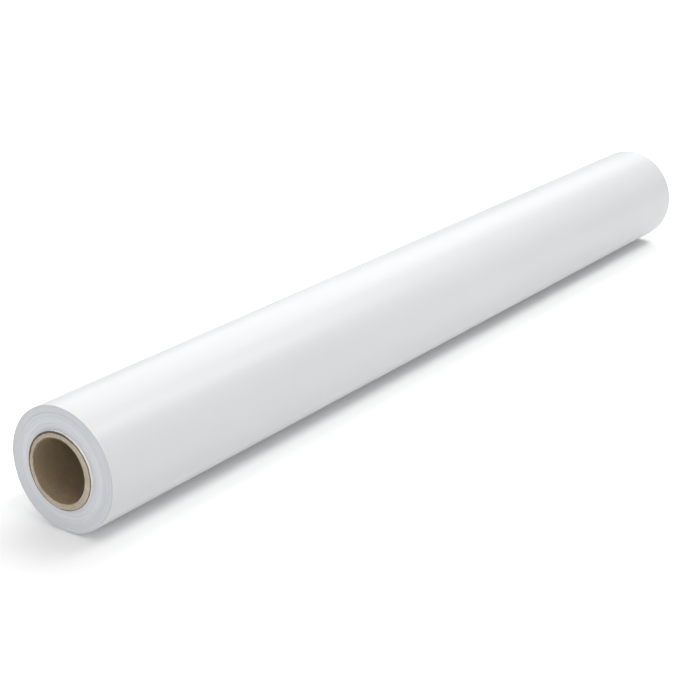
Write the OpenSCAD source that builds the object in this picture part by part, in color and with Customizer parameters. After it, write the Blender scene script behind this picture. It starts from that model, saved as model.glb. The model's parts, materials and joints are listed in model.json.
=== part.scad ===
// Roll of self-adhesive sign vinyl, lying on its side.
// The roll's axis is X, +Z is up and the origin is the middle of the core's bore.
// The web is a face film and its adhesive on a paper release liner, wound on a paperboard core.

/* [Core] */
// Bore of the paperboard core, a three inch core
core_bore = 76.2; // [70:0.1:80]
// Number of paperboard plies glued round each other
ply_count = 10; // [6:1:12]
// Thickness of one ply
ply_t = 0.8; // [0.4:0.1:1]
// How far the core stands out of each end of the web
core_proud = 4.5; // [1:0.5:10]

/* [Web] */
// Width of the web, along the roll
web_w = 1370; // [610:10:1600]
// Length of the web that is wound on the core, in metres
web_m = 45.72; // [25:0.01:60]
// Thickness of the face film
film_t = 0.08; // [0.06:0.01:0.1]
// Thickness of the adhesive
adhesive_t = 0.025; // [0.02:0.005:0.03]
// Thickness of the release liner
liner_t = 0.13; // [0.1:0.01:0.16]

/* [Tail] */
// Where the free tail begins, in degrees from the top of the roll towards +Y
tail_root = 32; // [20:1:60]
// Arc that the tail covers
tail_arc = 60; // [40:1:90]
// Arc at the tail's edge where the film peels off its liner
peel_arc = 22; // [12:1:30]
// Clearance under each piece that lifts
lift_gap = 0.1; // [0.05:0.05:0.3]
// Gap left beside the web's two cut edges, at its start and at its tail
edge_gap = 1; // [0.5:0.5:3]

/* [Start of the web] */
// Thickness of the double-sided tape that holds the web's start to the core
tape_t = 0.1; // [0.05:0.01:0.2]
// Width of that tape, round the core
tape_w = 19; // [12:1:25]
// Where the tape's middle is, in degrees from the top of the roll towards +Y
tape_at = 200; // [0:5:355]

/* [Hidden] */
$fn = 180;
web_t = film_t + adhesive_t + liner_t;
core_r = core_bore / 2 + ply_count * ply_t;
core_len = web_w + 2 * core_proud;
roll_r = sqrt(core_r * core_r + web_m * 1000 * web_t / PI);
first_turn_r = core_r;
last_turn_r = roll_r - web_t;
peel_root = tail_root + tail_arc - peel_arc;
tail_edge = tail_root + tail_arc;
tape_from = tape_at - arc_of(tape_w, core_r) / 2;
tape_to = tape_at + arc_of(tape_w, core_r) / 2;
// Gap between two edges that meet at a lifting line
root_gap = 0.2;
// Arc of one flat on the strips, which bend and so are made of short flats
flat_arc = 1;

// Angle that a length covers at a radius
function arc_of(length, r) = length / r * 180 / PI;

// The plies are numbered from the bore outwards
function ply_name(n) = str("core_ply_", n < 10 ? "0" : "", n);

// Turns a shape that was made along Z so that it lies along X, with its +X on +Y and its +Y on +Z
module along_roll() {
    rotate([90, 0, 90]) children();
}

// A whole tube along the roll
module tube(r_in, r_out, length) {
    along_roll() rotate_extrude()
        translate([r_in, -length / 2]) square([r_out - r_in, length]);
}

// A length of one of the web's layers round the roll, rigid because it is wound in. Its angles
// are measured from the top towards +Y, as the strips' are.
module shell(r_in, thickness, from, to) {
    along_roll() rotate([0, 0, 90 - to]) rotate_extrude(angle = to - from)
        translate([r_in, -web_w / 2]) square([thickness, web_w]);
}

// A strip that is laid on the roll or the core and bends to it, from one angle to the next. The
// middles of its inner flats touch what it lies on.
module strip(r_in, thickness, from, to) {
    flats = ceil((to - from) / flat_arc);
    angles = [for (i = [0:flats]) from + (to - from) * i / flats];
    inner = [for (a = angles) r_in / cos(flat_arc / 2) * [sin(a), cos(a)]];
    outer = [for (i = [flats:-1:0]) (r_in + thickness) * [sin(angles[i]), cos(angles[i])]];
    along_roll() linear_extrude(height = web_w, center = true) polygon(concat(inner, outer));
}

module core_ply(n) {
    r_in = core_bore / 2 + (n - 1) * ply_t;
    color(n == ply_count ? "saddlebrown" : "burlywood") tube(r_in, r_in + ply_t, core_len);
}

// The tape lies on the core beside the web's start, and the second turn sticks to it
module start_tape() {
    color("lightyellow") strip(core_r, tape_t, tape_from, tape_to);
}

// One layer of the first turn, from one side of the tape round to the other
module first_turn(depth, thickness) {
    gap = arc_of(edge_gap, core_r);
    shell(first_turn_r + depth, thickness, tape_to + gap, tape_from + 360 - gap);
}

module first_turn_liner() {
    color("lavender") first_turn(0, liner_t);
}

module first_turn_adhesive() {
    color("gainsboro") first_turn(liner_t, adhesive_t);
}

module first_turn_film() {
    color("white") first_turn(liner_t + adhesive_t, film_t);
}

// Every turn between the first and the last, pressed tight on each other
module wound_turns() {
    color("lavender") tube(first_turn_r + web_t, last_turn_r, web_w);
}

// One layer of the last turn, from past the tail's edge round to the tail's root
module outer_turn(depth, thickness) {
    shell(last_turn_r + depth, thickness,
          tail_edge + arc_of(edge_gap, roll_r), tail_root + 360 - arc_of(root_gap, roll_r));
}

module outer_turn_liner() {
    color("lavender") outer_turn(0, liner_t);
}

module outer_turn_adhesive() {
    color("gainsboro") outer_turn(liner_t, adhesive_t);
}

module outer_turn_film() {
    color("white") outer_turn(liner_t + adhesive_t, film_t);
}

module tail_liner() {
    color("lavender") strip(last_turn_r + lift_gap, liner_t, tail_root, tail_edge);
}

// A layer of the tail above its liner, from the tail's root to the peeling strip
module tail_layer(depth, thickness) {
    strip(last_turn_r + lift_gap + depth, thickness,
          tail_root, peel_root - arc_of(root_gap, roll_r));
}

module tail_adhesive() {
    color("gainsboro") tail_layer(liner_t, adhesive_t);
}

module tail_film() {
    color("white") tail_layer(liner_t + adhesive_t, film_t);
}

// A layer of the strip at the tail's edge, a second clearance above its liner
module peel_layer(depth, thickness) {
    strip(last_turn_r + 2 * lift_gap + depth, thickness, peel_root, tail_edge);
}

module peel_adhesive() {
    color("gainsboro") peel_layer(liner_t, adhesive_t);
}

module peel_film() {
    color("white") peel_layer(liner_t + adhesive_t, film_t);
}

for (n = [1:ply_count])
    core_ply(n);
start_tape();
first_turn_liner();
first_turn_adhesive();
first_turn_film();
wound_turns();
outer_turn_liner();
outer_turn_adhesive();
outer_turn_film();
tail_liner();
tail_adhesive();
tail_film();
peel_adhesive();
peel_film();
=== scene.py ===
# A roll of self-adhesive sign vinyl, lying on its side on a white floor.
# The roll's axis is X. Angles round the roll are measured from the top towards +Y.
import json
import math

import bmesh
import bpy
import numpy as np
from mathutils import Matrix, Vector


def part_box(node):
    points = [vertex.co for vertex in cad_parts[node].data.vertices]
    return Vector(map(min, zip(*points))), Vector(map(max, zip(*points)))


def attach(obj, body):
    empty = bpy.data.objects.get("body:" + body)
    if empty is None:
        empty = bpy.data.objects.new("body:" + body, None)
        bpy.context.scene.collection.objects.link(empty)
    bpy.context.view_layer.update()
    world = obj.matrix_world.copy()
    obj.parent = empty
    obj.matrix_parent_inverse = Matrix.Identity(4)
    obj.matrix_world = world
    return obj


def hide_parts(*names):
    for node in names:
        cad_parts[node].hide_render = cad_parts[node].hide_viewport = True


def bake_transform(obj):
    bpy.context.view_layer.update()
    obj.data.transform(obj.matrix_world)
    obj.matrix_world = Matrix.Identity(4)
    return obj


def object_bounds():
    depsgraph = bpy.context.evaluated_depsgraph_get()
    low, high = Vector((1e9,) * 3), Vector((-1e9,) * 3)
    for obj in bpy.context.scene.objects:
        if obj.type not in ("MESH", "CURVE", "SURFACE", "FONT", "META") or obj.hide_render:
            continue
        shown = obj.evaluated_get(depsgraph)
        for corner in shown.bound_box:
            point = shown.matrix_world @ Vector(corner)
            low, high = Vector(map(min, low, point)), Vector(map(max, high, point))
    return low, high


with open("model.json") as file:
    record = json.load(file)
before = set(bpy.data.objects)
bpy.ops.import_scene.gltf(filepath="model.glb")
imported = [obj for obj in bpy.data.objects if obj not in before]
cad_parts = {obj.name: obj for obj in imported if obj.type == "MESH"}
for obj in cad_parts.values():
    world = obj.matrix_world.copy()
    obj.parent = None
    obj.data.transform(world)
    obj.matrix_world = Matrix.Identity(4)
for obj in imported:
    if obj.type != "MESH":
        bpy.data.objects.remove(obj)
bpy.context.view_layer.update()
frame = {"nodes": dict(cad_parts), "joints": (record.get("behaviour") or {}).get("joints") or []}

# ---------------------------------------------------------------- sizes from the CAD model


def radii(node):
    """The smallest and largest distance of a CAD node's points from the roll's axis."""
    r = [math.hypot(v.co.y, v.co.z) for v in frame["nodes"][node].data.vertices]
    return min(r), max(r)


def joint_angle(name):
    """Where a hinge is round the roll, in degrees."""
    pos = next(j["pos_m"] for j in frame["joints"] if j["name"] == name)
    return math.degrees(math.atan2(pos[1], pos[2]))


PLIES = ["core_ply_%02d" % n for n in range(1, 11)]
CORE_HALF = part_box(PLIES[0])[1].x
WEB_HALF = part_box("wound_turns")[1].x
CORE_R = radii(PLIES[-1])[1]
BORE_R = radii(PLIES[0])[0]
LAST_TURN_R, ROLL_R = radii("wound_turns")[1], radii("outer_turn_film")[1]
WEB_T = ROLL_R - LAST_TURN_R
FILM_T = radii("outer_turn_film")[1] - radii("outer_turn_film")[0]
ADHESIVE_T = radii("outer_turn_adhesive")[1] - radii("outer_turn_adhesive")[0]
ROOT = joint_angle("tail_lift")
PEEL = joint_angle("film_peel")
TAIL_ARC = 60
TAIL_END = ROOT + TAIL_ARC
# Where the web starts on the core, beside its tape
START = 212
# Clearance under the free tail, and what is left of it at the tail's root
LIFT = 0.0001
ROOT_LIFT = 0.00002
# The film, the adhesive and the tail's liner stop a little short of the wound web's cut edges
SHEET_HALF = WEB_HALF - 0.0003
# The radius at which the kraft board's fibres are laid out flat
FLAT_R = 0.042
WHITE = (1, 1, 1)

# The web is one spiral: how many turns it has from its start to the tail's root
PART_TURN = ((ROOT - START) % 360) / 360
TURNS = round((ROLL_R - CORE_R) / WEB_T - 1 - PART_TURN) + PART_TURN
PITCH = (ROLL_R - CORE_R) / (TURNS + 1)


def spiral(angle):
    """Radius of the web's outside. The angle counts on through the turns, and ROOT is the tail's root."""
    return ROLL_R + PITCH * (angle - ROOT) / 360


def smooth(x, low, high):
    """0 below low, 1 above high, and a smooth step between."""
    t = np.clip((x - low) / (high - low), 0, 1)
    return t * t * (3 - 2 * t)


# ---------------------------------------------------------------- mesh tools


def new_piece(name, verts, faces, material, sharp=35, material_index=None, extra=()):
    """A mesh with its faces turned outwards, smooth but for edges that are sharper than an angle."""
    mesh = bpy.data.meshes.new(name)
    mesh.from_pydata([tuple(v) for v in verts], [], [tuple(f) for f in faces])
    mesh.validate()
    shape = bmesh.new()
    shape.from_mesh(mesh)
    bmesh.ops.recalc_face_normals(shape, faces=shape.faces)
    if shape.calc_volume(signed=True) < 0:
        bmesh.ops.reverse_faces(shape, faces=shape.faces)
    shape.to_mesh(mesh)
    shape.free()
    for m in (material, *extra):
        mesh.materials.append(m)
    if material_index is not None:
        mesh.polygons.foreach_set("material_index", np.asarray(material_index, np.int32))
    mesh.polygons.foreach_set("use_smooth", np.ones(len(mesh.polygons), bool))
    mesh.set_sharp_from_angle(angle=math.radians(sharp))
    mesh.update()
    obj = bpy.data.objects.new(name, mesh)
    bpy.context.scene.collection.objects.link(obj)
    return obj


def grid_faces(rows, columns, start=0, close=False, flip=False):
    """Quads of a grid of points that is stored row by row. close joins the last column to the first."""
    i, j = np.meshgrid(np.arange(rows - 1), np.arange(columns if close else columns - 1), indexing="ij")
    k = (j + 1) % columns
    here, next_row = i * columns, (i + 1) * columns
    quads = np.stack([here + j, here + k, next_row + k, next_row + j], -1).reshape(-1, 4) + start
    return quads[:, ::-1] if flip else quads


def round_the_roll(x, r, angle):
    """Points from their place along the roll, their distance from its axis and their angle in degrees."""
    a = np.radians(angle)
    x, r, a = np.broadcast_arrays(x, r, a)
    return np.stack([x, r * np.sin(a), r * np.cos(a)], -1)


def wave(x, angle):
    """The slight unevenness of the wound surface, as a change of radius that fades out at the roll's ends."""
    a = np.radians(angle)
    w = (
        0.40 * np.sin(x * 9.1 + 0.7) * np.cos(a + 0.4)
        + 0.30 * np.sin(x * 17.3 + 2.1 + 1.3 * np.sin(2 * a + 1.0))
        + 0.20 * np.sin(x * 31.0 + 0.4) * np.sin(3 * a + x * 2.0)
        + 0.10 * np.sin(5 * a + 8.0 * np.sin(x * 3.0))
    )
    return 0.000035 * w * smooth(WEB_HALF - np.abs(x), 0.0, 0.06)


def sheet_solid(name, inner, outer, angle_from, angle_to, steps, material, along=48):
    """A closed thin layer that lies round the roll between two radii, which are functions of the angle."""
    angles = np.linspace(angle_from, angle_to, steps + 1)[:, None]
    x = np.linspace(-SHEET_HALF, SHEET_HALF, along + 1)[None, :]
    uneven = wave(x, angles)
    top = round_the_roll(x, outer(angles) + uneven, angles).reshape(-1, 3)
    under = round_the_roll(x, inner(angles) + uneven, angles).reshape(-1, 3)
    rows, columns, n = steps + 1, along + 1, len(top)
    faces = [grid_faces(rows, columns, flip=True), grid_faces(rows, columns, n)]
    first, last = np.arange(columns), (rows - 1) * columns + np.arange(columns)
    left, right = np.arange(rows) * columns, np.arange(rows) * columns + columns - 1
    for edge, flip in ((first, False), (last, True), (left, True), (right, False)):
        quads = np.stack([edge[:-1], edge[1:], edge[1:] + n, edge[:-1] + n], -1)
        faces.append(quads[:, ::-1] if flip else quads)
    return new_piece(name, np.vstack([top, under]), np.vstack(faces), material)


# ---------------------------------------------------------------- materials


class Nodes:
    """A short way to write a node material."""

    def __init__(self, name):
        self.material = bpy.data.materials.new(name)
        self.material.use_nodes = True
        self.tree = self.material.node_tree
        self.shader = self.tree.nodes["Principled BSDF"]
        self.coordinates = self.add("ShaderNodeTexCoord").outputs["Object"]

    def add(self, kind, **inputs):
        node = self.tree.nodes.new(kind)
        for key, value in inputs.items():
            self.put(node.inputs[key.replace("_", " ")], value)
        return node

    def put(self, socket, value):
        if isinstance(value, bpy.types.NodeSocket):
            self.tree.links.new(value, socket)
        else:
            socket.default_value = value

    def set(self, **inputs):
        """Set the shader's own inputs, each to a value or to another node's output."""
        for key, value in inputs.items():
            self.put(self.shader.inputs[key.replace("_", " ")], value)

    def noise(self, scale, detail, roughness, stretch=(1, 1, 1), vector=None):
        place = self.coordinates if vector is None else vector
        mapping = self.add("ShaderNodeMapping", Vector=place, Scale=stretch)
        return self.add("ShaderNodeTexNoise", Vector=mapping.outputs["Vector"], Scale=scale, Detail=detail,
                        Roughness=roughness).outputs["Fac"]

    def ramp(self, value, stops):
        node = self.add("ShaderNodeValToRGB", Fac=value)
        elements = node.color_ramp.elements
        while len(elements) < len(stops):
            elements.new(0.5)
        for element, (position, colour) in zip(elements, stops):
            element.position = position
            element.color = (*colour, 1)
        return node.outputs["Color"]

    def math(self, operation, a, b=0.0, c=0.0):
        node = self.tree.nodes.new("ShaderNodeMath")
        node.operation = operation
        for socket, value in zip(node.inputs, (a, b, c)):
            self.put(socket, value)
        return node.outputs[0]

    def weigh(self, *pairs):
        """The sum of some values, each times its weight."""
        total, *others = [self.math("MULTIPLY", value, weight) for value, weight in pairs]
        for part in others:
            total = self.math("ADD", total, part)
        return total

    def mix(self, factor, a, b, blend="MIX"):
        node = self.tree.nodes.new("ShaderNodeMix")
        node.data_type, node.blend_type = "RGBA", blend
        self.put(node.inputs[0], factor)
        self.put(node.inputs[6], a)
        self.put(node.inputs[7], b)
        return node.outputs[2]

    def spread(self, value, low, high):
        """A value between 0 and 1, spread over a range."""
        return self.add("ShaderNodeMapRange", Value=value, To_Min=low, To_Max=high).outputs["Result"]

    def bump(self, height, distance, strength, normal=None):
        node = self.add("ShaderNodeBump", Height=height, Distance=distance, Strength=strength)
        if normal is not None:
            self.put(node.inputs["Normal"], normal)
        return node.outputs["Normal"]

    def polar(self):
        """(place along the roll, distance from its axis, angle round it in radians)."""
        parts = self.add("ShaderNodeSeparateXYZ", Vector=self.coordinates)
        x, y, z = (parts.outputs[n] for n in "XYZ")
        squares = self.math("ADD", self.math("MULTIPLY", y, y), self.math("MULTIPLY", z, z))
        return x, self.math("SQRT", squares), self.math("ARCTAN2", y, z)


def film_material():
    m = Nodes("gloss white vinyl face film")
    cloud = m.noise(5.0, 3.0, 0.55, (0.4, 1, 1))
    fine = m.noise(1500.0, 2.0, 0.5, (0.5, 1, 1))
    drawn = m.noise(260.0, 2.0, 0.6, (0.05, 1, 1))
    m.set(
        Base_Color=m.ramp(cloud, [(0.3, (0.684, 0.697, 0.707)), (0.7, (0.709, 0.721, 0.730))]),
        Roughness=m.spread(m.weigh((cloud, 0.7), (drawn, 0.3)), 0.30, 0.40),
        Normal=m.bump(drawn, 0.00003, 0.25, m.bump(fine, 0.00002, 0.35)),
        IOR=1.47,
        Specular_IOR_Level=0.5,
    )
    return m.material


def edge_material():
    """The wound web's cut edges: fine rings of film and liner, in slightly paler and darker bands."""
    m = Nodes("cut edges of the wound web")
    x, r, a = m.polar()
    # noise that changes with the radius, and hardly round the roll or along it
    ring = m.add("ShaderNodeCombineXYZ", X=r, Y=m.math("MULTIPLY", a, 0.00012),
                 Z=m.math("MULTIPLY", x, 0.004)).outputs[0]
    broad = m.noise(190.0, 4.0, 0.6, vector=ring)
    fine = m.noise(1600.0, 3.0, 0.7, vector=ring)
    patch = m.noise(28.0, 3.0, 0.5)
    rings = m.ramp(m.weigh((broad, 0.55), (fine, 0.45)), [
        (0.30, (0.488, 0.498, 0.528)), (0.5, (0.593, 0.602, 0.631)), (0.72, (0.667, 0.672, 0.689))])
    # how far out a ring is, from the core to the last turn, moved a little by noise so that no band is even
    moved = m.math("ADD", r, m.spread(patch, -0.0006, 0.0006))
    share = m.math("DIVIDE", m.math("SUBTRACT", moved, CORE_R), ROLL_R - CORE_R)
    bands = m.ramp(share, [(at, (tone, tone, tone)) for at, tone in (
        (0.0, 0.90), (0.06, 0.95), (0.28, 0.93), (0.31, 0.99), (0.55, 0.95), (0.64, 0.99), (0.67, 0.92),
        (0.85, 0.95), (0.885, 1.0), (0.91, 0.89), (1.0, 0.87))])
    dust = m.ramp(patch, [(0.35, (0.95, 0.985, 0.98)), (0.65, (1.0, 0.985, 1.0))])
    m.set(
        Base_Color=m.mix(1.0, m.mix(1.0, rings, bands, "MULTIPLY"), dust, "MULTIPLY"),
        Roughness=m.spread(fine, 0.42, 0.62),
        Normal=m.bump(fine, 0.00010, 0.5, m.bump(broad, 0.00030, 0.4)),
        Specular_IOR_Level=0.35,
    )
    return m.material


def liner_material():
    m = Nodes("silicone coated release liner")
    fibre = m.noise(420.0, 4.0, 0.65, (0.6, 1, 1))
    cloud = m.noise(30.0, 3.0, 0.5)
    fibres = m.ramp(fibre, [(0.3, (0.70, 0.725, 0.76)), (0.7, (0.79, 0.805, 0.825))])
    clouds = m.ramp(cloud, [(0.3, (0.72, 0.74, 0.77)), (0.7, (0.80, 0.81, 0.825))])
    m.set(Base_Color=m.mix(0.5, fibres, clouds), Roughness=m.spread(fibre, 0.38, 0.52),
          Normal=m.bump(fibre, 0.00003, 0.5))
    return m.material


def adhesive_material():
    m = Nodes("clear adhesive on the back of the film")
    flow = m.noise(700.0, 3.0, 0.6)
    cloud = m.noise(60.0, 2.0, 0.5)
    m.set(
        Base_Color=m.ramp(cloud, [(0.3, (0.66, 0.69, 0.71)), (0.7, (0.73, 0.75, 0.76))]),
        Roughness=m.spread(flow, 0.12, 0.26),
        Normal=m.bump(flow, 0.00003, 0.5),
        Coat_Weight=0.3,
    )
    return m.material


def kraft_material(name, dark, light, fleck, streak, dark_rims_and_shade=False):
    """Paperboard: fibres, flecks and slow changes of tone. streak stretches the fibres round the core."""
    m = Nodes(name)
    x, r, a = m.polar()
    flat = m.add("ShaderNodeCombineXYZ", X=x, Y=m.math("MULTIPLY", a, FLAT_R), Z=r).outputs[0]
    fibre = m.noise(900.0, 5.0, 0.7, streak, flat)
    coarse = m.noise(120.0, 4.0, 0.6, streak, flat)
    cloud = m.noise(22.0, 3.0, 0.5, (1, 1, 1), flat)
    base = m.ramp(m.weigh((fibre, 0.45), (coarse, 0.35), (cloud, 0.2)), [(0.34, dark), (0.64, light)])
    spots = m.ramp(m.noise(1400.0, 2.0, 0.6, streak, flat), [(0.30, fleck), (0.38, WHITE)])
    base = m.mix(1.0, base, spots, "MULTIPLY")
    if dark_rims_and_shade:
        # the cut end is darker along its outer rim, partly as painted shade where the core meets the web, and
        # along the bore's edge; both rims are darker on one side as painted shade
        # side is where the painted shade falls, most at about 60 degrees from the top towards +Y
        side = m.math("SINE", m.math("ADD", a, 0.5))
        rough = m.math("ADD", m.spread(coarse, -0.0016, 0.0016), m.spread(fibre, -0.0006, 0.0006))

        def rim(depth, shade_lean, stops):
            """Colour by how deep a point is from a rim, with a rough edge that leans to one side, which
            paints shade on that side.
            """
            reach = m.math("ADD", depth, m.math("ADD", rough, m.math("MULTIPLY", side, shade_lean)))
            return m.ramp(m.math("MULTIPLY", reach, 400.0), stops)

        # outer: a dark outer rim, partly painted shade where the core meets the web; inner: darker along the
        # bore's edge
        outer = rim(m.math("SUBTRACT", CORE_R, r), -0.0009, [(0.38, (0.26, 0.24, 0.22)), (0.72, WHITE)])
        inner = rim(m.math("SUBTRACT", r, BORE_R), -0.0007, [(0.10, (0.42, 0.39, 0.36)), (0.45, WHITE)])
        base = m.mix(1.0, m.mix(1.0, base, outer, "MULTIPLY"), inner, "MULTIPLY")
    m.set(
        Base_Color=base,
        Roughness=m.spread(coarse, 0.78, 0.95),
        Normal=m.bump(fibre, 0.00020, 0.6, m.bump(coarse, 0.00035, 0.4)),
        Specular_IOR_Level=0.2,
    )
    return m.material


def tape_material():
    m = Nodes("double sided tape")
    fibre = m.noise(500.0, 3.0, 0.6)
    m.set(
        Base_Color=m.ramp(fibre, [(0.3, (0.72, 0.69, 0.55)), (0.7, (0.82, 0.79, 0.66))]),
        Roughness=m.spread(fibre, 0.35, 0.5),
        Normal=m.bump(fibre, 0.00003, 0.4),
    )
    return m.material


def floor_material():
    """A white floor that glows a little everywhere as painted light, and glows more for camera rays the
    further it is from the roll, so that it is seen as plain white away from the roll's shadow.
    """
    m = Nodes("white studio floor")
    cloud = m.noise(0.6, 2.0, 0.5)
    # how far a point of the floor is from the line that the roll rests on
    parts = m.add("ShaderNodeSeparateXYZ", Vector=m.coordinates)
    x, y = parts.outputs["X"], parts.outputs["Y"]
    past_end = m.math("MAXIMUM", m.math("SUBTRACT", m.math("ABSOLUTE", x), WEB_HALF), 0.0)
    squares = m.math("ADD", m.math("MULTIPLY", past_end, past_end), m.math("MULTIPLY", y, y))
    # painted light: for camera rays the floor glows more with distance from the roll, which fades out the
    # outer part of the roll's shadow
    glow = m.add("ShaderNodeMapRange", Value=m.math("SQRT", squares), From_Min=0.04, From_Max=0.9,
                 To_Min=0.0, To_Max=0.8).outputs["Result"]
    seen = m.add("ShaderNodeLightPath").outputs["Is Camera Ray"]
    m.set(
        Base_Color=m.ramp(cloud, [(0.3, (0.875, 0.875, 0.875)), (0.7, (0.89, 0.89, 0.89))]),
        Roughness=m.spread(cloud, 0.85, 0.95),
        Specular_IOR_Level=0.1,
        Emission_Color=(*WHITE, 1),
        Emission_Strength=m.math("MULTIPLY_ADD", seen, glow, 0.085),
    )
    return m.material


FILM, EDGES, LINER, ADHESIVE = film_material(), edge_material(), liner_material(), adhesive_material()
KRAFT_END = kraft_material("raw kraft board", (0.305, 0.258, 0.195), (0.57, 0.497, 0.402), (0.55, 0.5, 0.45),
                           (1, 0.35, 1), dark_rims_and_shade=True)
# The bore's kraft is a darker, browner copy of the end's board: painted shade in the bore
KRAFT_BORE_SHADED = kraft_material("kraft board in the bore, darkened as painted shade", (0.272, 0.203, 0.131), (0.38, 0.298, 0.197),
                            (0.72, 0.68, 0.62), (1, 0.6, 1))
KRAFT_WRAP = kraft_material("pale outer wrap", (0.84, 0.815, 0.765), (0.93, 0.915, 0.88), (0.8, 0.77, 0.7),
                            (1, 0.4, 1))
# The wrap's dark rim is partly its torn edge and partly painted shade where the core meets the web
KRAFT_RIM_AND_SHADE = kraft_material("torn dark rim of the wrap and painted shade", (0.075, 0.062, 0.048), (0.24, 0.20, 0.155),
                           (0.5, 0.45, 0.4), (1, 0.5, 1))
TAPE = tape_material()

# ---------------------------------------------------------------- the core's plies

# Points round a ply, and the chamfer and the wear of its sawn ends
AROUND = 180
CHAMFER = 0.00013
WEAR = 0.00006
# Waves round a ply in its rough cut
ROUGH_WAVES = 59


def ragged(count, size, seed, rough=0.5):
    """A closed run of smooth noise, for the uneven cut of a ply's end."""
    local = np.random.default_rng(seed)
    t = np.linspace(0, 2 * math.pi, count, endpoint=False)
    total = np.zeros(count)
    for k in range(1, ROUGH_WAVES + 1):
        total += local.normal() / k**rough * np.sin(k * t + local.uniform(0, 2 * math.pi))
    return size * total / np.abs(total).max()


def tube_piece(name, rings, material, extra=(), bands=None):
    """A closed tube from its rings, from one end round to the start again. bands says which material
    the faces after each ring have."""
    around, count = len(rings[0]), len(rings)
    last, first = (count - 1) * around + np.arange(around), np.arange(around)
    closing = np.stack([last, np.roll(last, -1), np.roll(first, -1), first], -1)
    faces = np.vstack([grid_faces(count, around, close=True), closing])
    index = None if bands is None else np.repeat(np.append(bands, 0), around)
    return new_piece(name, np.vstack(rings), faces, material, sharp=50, material_index=index, extra=extra)


def build_ply(n):
    """One paperboard ply: a tube with rough sawn ends. The outermost is a pale wrap with a torn dark rim,
    which also paints the shade where the core meets the web.
    """
    r_in, r_out = radii(PLIES[n - 1])
    theta = np.linspace(0, 360, AROUND, endpoint=False)
    wrap = n == len(PLIES)
    # how far short of the core's end the ply stops, and how rough its cut is
    sink = 0.00008 + 0.00016 * abs(math.sin(n * 2.3)) + (0.00025 if wrap else 0)
    roughness = 0.0004 if wrap else 0.00018
    rings = []
    for side in (-1, 1):
        end = CORE_HALF - sink - np.abs(ragged(AROUND, roughness, 40 * n + (side > 0)))
        worn = end - WEAR * np.abs(np.sin(np.radians(theta * 30 + n * 40)))
        cut = [(end - CHAMFER, r_out), (end, r_out - CHAMFER), (worn, (r_in + r_out) / 2),
               (end, r_in + CHAMFER), (end - CHAMFER, r_in)]
        if wrap:
            # the torn dark rim, partly painted shade, covers about a millimetre of the wrap's outside
            cut.insert(0, (end - 0.0010 - ragged(AROUND, 0.0004, 90 + side, 0.3), r_out))
        rings += [round_the_roll(side * x, r, theta) for x, r in cut[::-side]]
    name = "core_ply_%02d_board" % n
    if wrap:
        # the bands of faces at the cut ends are dark, partly as painted shade where the core meets the web,
        # and the walls between them are pale
        dark = [1] * (len(cut) - 1)
        piece = tube_piece(name, rings, KRAFT_WRAP, (KRAFT_RIM_AND_SHADE,), dark + [0] + dark)
    else:
        piece = tube_piece(name, rings, KRAFT_END)
    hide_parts(PLIES[n - 1])
    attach(piece, "roll")


def build_bore_ply():
    """The innermost ply. Its bore is a sheared grid, whose columns run along the butt seam of its strip."""
    r_in, r_out = radii(PLIES[0])
    around, rows, turns = 120, 560, 10
    # the seam is the first three columns: a lip that stands into the bore, and then a groove
    offsets = np.concatenate([[0.0, 0.7, 1.4], np.linspace(4.2, 357.2, around - 3)])
    seam = np.zeros(around)
    seam[0], seam[1] = -0.00008, 0.00035
    end, bore_end, chamfer = CORE_HALF - 0.0001, CORE_HALF - 0.0009, 0.00025
    x = np.linspace(-bore_end, bore_end, rows)
    # the strip goes round a whole number of times, so the outside can be straight
    lead = (x[-1] - x[0]) / turns
    two, five = np.radians(offsets * 2), np.radians(offsets * 5)
    rings = []

    def ring(at, r, shift=x[0]):
        rings.append(round_the_roll(at, r, offsets + 360 * (shift - x[0]) / lead))

    for side in (-1, 1):
        cut = end - np.abs(ragged(around, 0.0002, 5 + side))
        profile = [(cut - CHAMFER, r_out), (cut, r_out - CHAMFER), (cut - WEAR, (r_in + r_out) / 2),
                   (cut, r_in + chamfer), (cut - chamfer * 0.6, r_in + 0.00008)]
        for at, r in profile[::-side]:
            ring(side * at, r)
        if side < 0:
            for at in x:
                uneven = 0.00006 * np.sin(two + at * 23) + 0.00004 * np.sin(five + at * 71)
                ring(at, r_in + seam + uneven, at)
    cut_bands = [0] * (len(profile) - 1)
    # the bore's faces take the darker kraft, which is painted shade
    bands = cut_bands + [1] * (rows + 1) + cut_bands
    piece = tube_piece("core_ply_01_board", rings, KRAFT_END, (KRAFT_BORE_SHADED,), bands)
    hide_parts(PLIES[0])
    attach(piece, "roll")


build_bore_ply()
for n in range(2, len(PLIES) + 1):
    build_ply(n)

# ---------------------------------------------------------------- the wound web

# Points in one turn of the spiral
PER_TURN = 180
# Gap between the last turn's liner and the film round it, which is a piece of its own
FILM_GAP = 0.00006
# Each turn's edge sinks this much at its adhesive, which is this far up the turn
ADHESIVE_SINK, ADHESIVE_AT = 0.00004, 0.55
# Steps of the edges' drift, one for each turn, and more of them than the web has turns
DRIFT_STEPS = 160


def edge_places(seed, angle, share):
    """How far from the roll's middle the web's cut edge is, at each point of the spiral. It drifts from
    turn to turn, and whole bands of turns stand further out or in."""
    local = np.random.default_rng(seed)
    walk = np.cumsum(local.normal(size=DRIFT_STEPS)) * 0.000018
    walk = walk - np.linspace(walk[0], walk[-1], DRIFT_STEPS)
    each = local.normal(size=DRIFT_STEPS) * 0.00002
    drift = np.interp((angle - angle[0]) / 360, np.arange(DRIFT_STEPS), walk + each)
    bands = (0.00040 * (1 - smooth(share, 0.24, 0.27)) - 0.00055 * smooth(share, 0.70, 0.72)
             + 0.00022 * smooth(share, 0.45, 0.46))
    wobble = 0.00005 * np.sin(np.radians(angle) + 9 * share + seed) * np.sin(17 * share)
    return WEB_HALF + drift + bands + wobble


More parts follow.
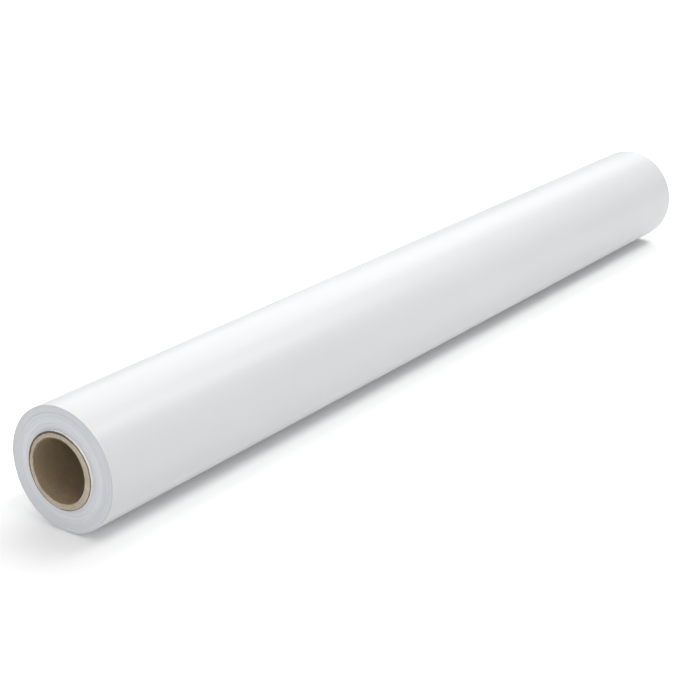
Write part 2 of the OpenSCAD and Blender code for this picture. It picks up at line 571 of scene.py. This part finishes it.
def build_wound_web():
    """All the turns as one spiral, with each turn's film and liner edge on both ends."""
    count = round(TURNS * PER_TURN)
    angle = ROOT - TURNS * 360 + 360 * TURNS * np.arange(count + PER_TURN + 1) / count
    inner_r = spiral(angle) - PITCH
    outer_r = np.where(angle > ROOT - 360 - 1e-6, inner_r - FILM_T - FILM_GAP, inner_r)
    step = np.arange(count + 1)
    middle_r = inner_r[step] + ADHESIVE_AT * PITCH
    share = (inner_r - CORE_R) / (ROLL_R - CORE_R)

    # at each end, a run of points where the turns touch, and then one along the adhesive
    parts, faces, starts, total = [], [], [], 0
    i = np.arange(count)
    for side, seed in ((-1, 11), (1, 23)):
        end = edge_places(seed, angle, share)
        borders = round_the_roll(side * end, outer_r, angle)
        middles = round_the_roll(side * (end[step] - ADHESIVE_SINK), middle_r, angle[step])
        a, b = total, total + len(borders)
        low = np.stack([a + i, a + i + 1, b + i + 1, b + i], -1)
        high = np.stack([b + i, b + i + 1, a + i + 1 + PER_TURN, a + i + PER_TURN], -1)
        faces.append(np.vstack([low, high])[:, ::side])
        parts += [borders, middles]
        starts.append((a, b))
        total = b + len(middles)

    # the walls from one end to the other, and the two ends of the web
    (la, lb), (ra, rb) = starts
    inner, outer = np.arange(PER_TURN), np.arange(count, count + PER_TURN)
    faces.append(np.stack([la + inner, la + inner + 1, ra + inner + 1, ra + inner], -1))
    faces.append(np.stack([la + outer, ra + outer, ra + outer + 1, la + outer + 1], -1))
    faces.append(np.array([
        [la, ra, rb, lb],
        [lb, rb, ra + PER_TURN, la + PER_TURN],
        [la + count, lb + count, rb + count, ra + count],
        [lb + count, la + count + PER_TURN, ra + count + PER_TURN, rb + count],
    ]))
    piece = new_piece("wound_web", np.vstack(parts), np.vstack(faces), EDGES, sharp=60)
    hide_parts("first_turn_liner", "first_turn_adhesive", "first_turn_film", "wound_turns",
                "outer_turn_liner", "outer_turn_adhesive")
    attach(piece, "roll")


build_wound_web()

outer_film = sheet_solid("outer_turn_film_sheet", lambda a: spiral(a) - FILM_T, spiral,
                         ROOT - 360, ROOT, 360, FILM, along=96)
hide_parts("outer_turn_film")
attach(outer_film, "roll")

# ---------------------------------------------------------------- the free tail and its peeling film


def tail_r(angle):
    """Outside of the tail: one turn above the last, lifting clear of it by LIFT after the root."""
    return spiral(angle) + ROOT_LIFT + (LIFT - ROOT_LIFT) * smooth(angle, ROOT, ROOT + 8)


def under_film(angle):
    return tail_r(angle) - FILM_T


def under_adhesive(angle):
    return tail_r(angle) - FILM_T - ADHESIVE_T


def under_liner(angle):
    return tail_r(angle) - PITCH


tail_liner = sheet_solid("tail_liner_sheet", under_liner, under_adhesive, ROOT, TAIL_END, 90, LINER)
tail_adhesive = sheet_solid("tail_adhesive_sheet", under_adhesive, under_film, ROOT, PEEL, 57, ADHESIVE)
tail_film = sheet_solid("tail_film_sheet", under_film, tail_r, ROOT, PEEL, 57, FILM)
for piece, node, slot in ((tail_liner, "tail_liner", "liner"), (tail_adhesive, "tail_adhesive", "adhesive"),
                          (tail_film, "tail_film", "face_film")):
    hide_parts(node)
    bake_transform(piece)

peel_adhesive = sheet_solid("peel_adhesive_sheet", under_adhesive, under_film, PEEL, TAIL_END, 44, ADHESIVE)
peel_film = sheet_solid("peel_film_sheet", under_film, tail_r, PEEL, TAIL_END, 44, FILM)
for piece, node, slot in ((peel_adhesive, "peel_adhesive", "adhesive"),
                          (peel_film, "peel_film", "face_film")):
    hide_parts(node)
    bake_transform(piece)

# The start tape keeps its CAD shape
frame["nodes"]["start_tape"].data.materials.clear()
frame["nodes"]["start_tape"].data.materials.append(TAPE)

# ---------------------------------------------------------------- floor, light and camera

FLOOR_HALF, FLOOR_STEPS = 12.0, 8
# Gap between the roll and the floor
FLOOR_GAP = 0.00002
scene = bpy.context.scene

floor_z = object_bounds()[0].z - FLOOR_GAP
line = np.linspace(-FLOOR_HALF, FLOOR_HALF, FLOOR_STEPS + 1)
gx, gy = np.meshgrid(line, line, indexing="ij")
floor = new_piece("floor", np.stack([gx, gy, np.full_like(gx, floor_z)], -1).reshape(-1, 3),
                  grid_faces(len(line), len(line)), floor_material())
if floor.data.polygons[0].normal.z < 0:
    floor.data.flip_normals()


def soft_light(name, at, toward, size_x, size_y, power):
    light = bpy.data.lights.new(name, "AREA")
    light.shape = "RECTANGLE"
    light.size, light.size_y = size_x, size_y
    light.energy = power
    obj = bpy.data.objects.new(name, light)
    scene.collection.objects.link(obj)
    obj.location = at
    obj.rotation_euler = (Vector(toward) - Vector(at)).to_track_quat("-Z", "Y").to_euler()
    obj.visible_camera = False


# Two long softboxes over the roll draw the streak along its top, and the rest fill and light the floor
soft_light("front overhead softbox", (0.3, -0.75, 1.65), (0.3, 0, 0), 3.4, 0.6, 22.5)
soft_light("overhead softbox", (0.3, 0.1, 1.7), (0.3, 0, 0), 3.4, 0.5, 6.0)
soft_light("front fill", (-2.6, -1.6, 1.6), (0, 0, 0), 1.5, 1.5, 8.0)
soft_light("end fill", (-3.2, -0.3, 0.35), (-0.7, 0, 0), 0.9, 0.9, 22.5)
soft_light("back wall panel", (1.0, 3.2, 0.9), (0, 0, 0), 4.5, 1.2, 12.0)
soft_light("white ceiling", (6.0, 5.0, 4.0), (6.0, 5.0, 0), 9.0, 9.0, 458.0)

# The room's light, from its walls and from above. It is seen as plain white.
WALL_LIGHT, TOP_LIGHT = 0.18, 0.52
world = bpy.data.worlds.new("white studio")
world.use_nodes = True
sky = world.node_tree
place, parts = sky.nodes.new("ShaderNodeTexCoord"), sky.nodes.new("ShaderNodeSeparateXYZ")
rise = sky.nodes.new("ShaderNodeMapRange")
rise.inputs["To Min"].default_value = WALL_LIGHT
rise.inputs["To Max"].default_value = TOP_LIGHT
room, backdrop = sky.nodes["Background"], sky.nodes.new("ShaderNodeBackground")
for background in (room, backdrop):
    background.inputs["Color"].default_value = (*WHITE, 1)
choice, path = sky.nodes.new("ShaderNodeMixShader"), sky.nodes.new("ShaderNodeLightPath")
for output, socket in (
    (place.outputs["Generated"], parts.inputs[0]),
    (parts.outputs["Z"], rise.inputs["Value"]),
    (rise.outputs["Result"], room.inputs["Strength"]),
    (path.outputs["Is Camera Ray"], choice.inputs[0]),
    (room.outputs[0], choice.inputs[1]),
    (backdrop.outputs[0], choice.inputs[2]),
    (choice.outputs[0], sky.nodes["World Output"].inputs["Surface"]),
):
    sky.links.new(output, socket)
scene.world = world
scene.view_settings.view_transform = "Standard"

camera = bpy.data.objects.new("camera", bpy.data.cameras.new("camera"))
scene.collection.objects.link(camera)
camera.location = (-1.8509, -1.2057, 0.7644)
camera.rotation_euler = (math.radians(69.226), 0, math.radians(-54.780))
camera.data.lens = 85.96
camera.data.sensor_width = 36
camera.data.clip_end = 100
scene.camera = camera
